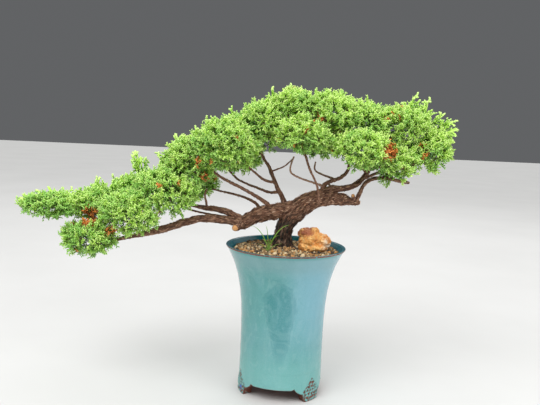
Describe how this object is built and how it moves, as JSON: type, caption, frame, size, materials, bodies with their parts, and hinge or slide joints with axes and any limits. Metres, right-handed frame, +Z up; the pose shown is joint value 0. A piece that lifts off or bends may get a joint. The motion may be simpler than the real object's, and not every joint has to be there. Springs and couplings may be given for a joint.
{
  "type": "bonsai tree in a pot",
  "caption": "Spreading juniper bonsai with a bent trunk and windswept foliage, in a tall round flared glazed pot on bracket feet, with grit soil and a stone.",
  "frame": {"origin": "bottom centre of the whole object's bounding box, on the surface the feet stand on", "axes": "+X to the right along the length of the tree, +Y to the back, +Z up"},
  "size_m": [0.6586, 0.2014, 0.4805],
  "materials": {
    "glaze": "glossy turquoise glaze, pale and streaked, red-brown clay where it breaks at the lip and feet",
    "mesh_plastic": "matt",
    "wire": "satin",
    "grit": "rough mixed grit in tan, cream, orange-brown and dark grey",
    "stone": "rough, slightly crystalline",
    "grass": "soft satin leaf",
    "trunk_bark": "rough dark bark, olive and black at the base",
    "bark": "stringy flaking red-brown bark",
    "pale_bark": "thin pale red-brown bark",
    "foliage": "bright yellow-green scale-leaf sprays with a few dead orange tips"
  },
  "bodies": {
    "root": {"pot": "glaze", "drainage_mesh": "mesh_plastic", "mesh_wire": "wire", "soil": "grit", "stone": "stone", "grass_tuft": "grass", "trunk": "trunk_bark", "left_limb": "bark", "left_pruned_stub": "bark", "left_lower_branch": "bark", "left_tip_branch": "bark", "left_upper_branch": "bark", "left_middle_twig": "bark", "left_back_branch": "bark", "left_upright_twig": "bark", "leader": "bark", "leader_front_branch": "bark", "leader_back_branch": "bark", "leader_right_twig": "bark", "shoulder_branch": "bark", "shoulder_back_branch": "bark", "right_rising_branch": "bark", "right_low_branch": "bark", "right_pruned_stub": "bark", "right_upright_branch": "bark", "right_left_twig": "pale_bark", "thin_pale_branch": "pale_bark", "hanging_twig": "bark", "loop_twig": "bark", "right_inner_branch": "pale_bark", "right_inner_stub": "bark", "right_inner_twig": "bark", "right_outer_branch": "pale_bark", "right_back_branch": "bark", "foliage_left_tip": "foliage", "foliage_left_hanging": "foliage", "foliage_left_outer": "foliage", "foliage_left_front": "foliage", "foliage_left_back": "foliage", "foliage_shoulder_low": "foliage", "foliage_shoulder_back": "foliage", "foliage_shoulder_top": "foliage", "foliage_crown_left": "foliage", "foliage_crown_back": "foliage", "foliage_crown_mid": "foliage", "foliage_crown_peak": "foliage", "foliage_crown_front": "foliage", "foliage_right_top": "foliage", "foliage_right_back": "foliage", "foliage_right_mid": "foliage", "foliage_right_front": "foliage", "foliage_right_low": "foliage", "foliage_right_outer": "foliage", "foliage_right_tip": "foliage"}
  },
  "joints": []
}
